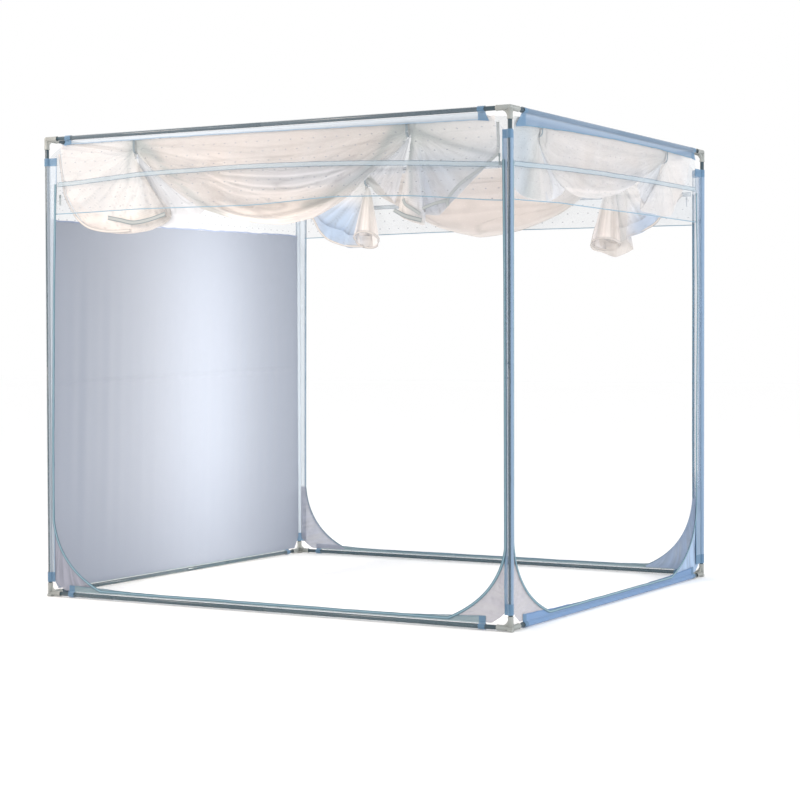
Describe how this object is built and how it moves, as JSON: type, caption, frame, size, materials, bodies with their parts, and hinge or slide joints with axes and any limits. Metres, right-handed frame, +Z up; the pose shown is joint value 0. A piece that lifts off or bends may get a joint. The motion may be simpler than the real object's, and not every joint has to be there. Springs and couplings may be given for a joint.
{
  "type": "mosquito net canopy with tube frame",
  "caption": "Free-standing box-shaped mosquito net canopy: slim tube frame, sheer upper bands, a dense head panel, and zipped net doors drawn up in swags under the top rails.",
  "frame": {"origin": "centre of the footprint, on the ground plane under the base joints", "axes": "+X from the head panel to the foot, -Y the near long side, +Z up"},
  "size_m": [2.0218, 1.8218, 1.7854],
  "materials": {
    "tube": "grey-green painted steel tube, satin",
    "joint": "pale grey moulded plastic, semi-gloss",
    "sleeve": "fine sheer blue cloth, doubled over the tubes",
    "net": "white mosquito mesh with tiny woven dots, sheer",
    "door_net": "white mosquito mesh, gathered in soft folds",
    "tape": "woven grey-blue tape",
    "panel": "dense pale lilac-grey cloth, slightly glossy",
    "ribbon": "narrow dark grey-green ribbon"
  },
  "bodies": {
    "root": {"band_far": "net", "band_foot": "net", "band_head": "net", "band_near": "net", "door_far": "door_net", "door_foot": "door_net", "door_near": "door_net", "gore_far_foot": "net", "gore_far_head": "net", "gore_foot_far": "net", "gore_foot_near": "net", "gore_near_foot": "net", "gore_near_head": "net", "head_panel": "panel", "joint_base_foot_far": "joint", "joint_base_foot_near": "joint", "joint_base_head_far": "joint", "joint_base_head_near": "joint", "joint_top_foot_far": "joint", "joint_top_foot_near": "joint", "joint_top_head_far": "joint", "joint_top_head_near": "joint", "post_foot_far": "tube", "post_foot_near": "tube", "post_head_far": "tube", "post_head_near": "tube", "rail_base_far": "tube", "rail_base_foot": "tube", "rail_base_head": "tube", "rail_base_near": "tube", "rail_top_far": "tube", "rail_top_foot": "tube", "rail_top_head": "tube", "rail_top_near": "tube", "roof_net": "net", "sleeve_base_far": "sleeve", "sleeve_base_foot": "sleeve", "sleeve_base_head": "sleeve", "sleeve_base_near": "sleeve", "sleeve_post_foot_far": "sleeve", "sleeve_post_foot_near": "sleeve", "sleeve_post_head_far": "sleeve", "sleeve_post_head_near": "sleeve", "sleeve_top_far": "sleeve", "sleeve_top_foot": "sleeve", "sleeve_top_head": "sleeve", "sleeve_top_near": "sleeve", "tape_far": "tape", "tape_foot": "tape", "tape_near": "tape", "tie_far_1": "ribbon", "tie_far_2": "ribbon", "tie_foot_1": "ribbon", "tie_foot_2": "ribbon", "tie_near_1": "ribbon", "tie_near_2": "ribbon", "zip_far": "tape", "zip_foot": "tape", "zip_near": "tape"}
  },
  "joints": []
}
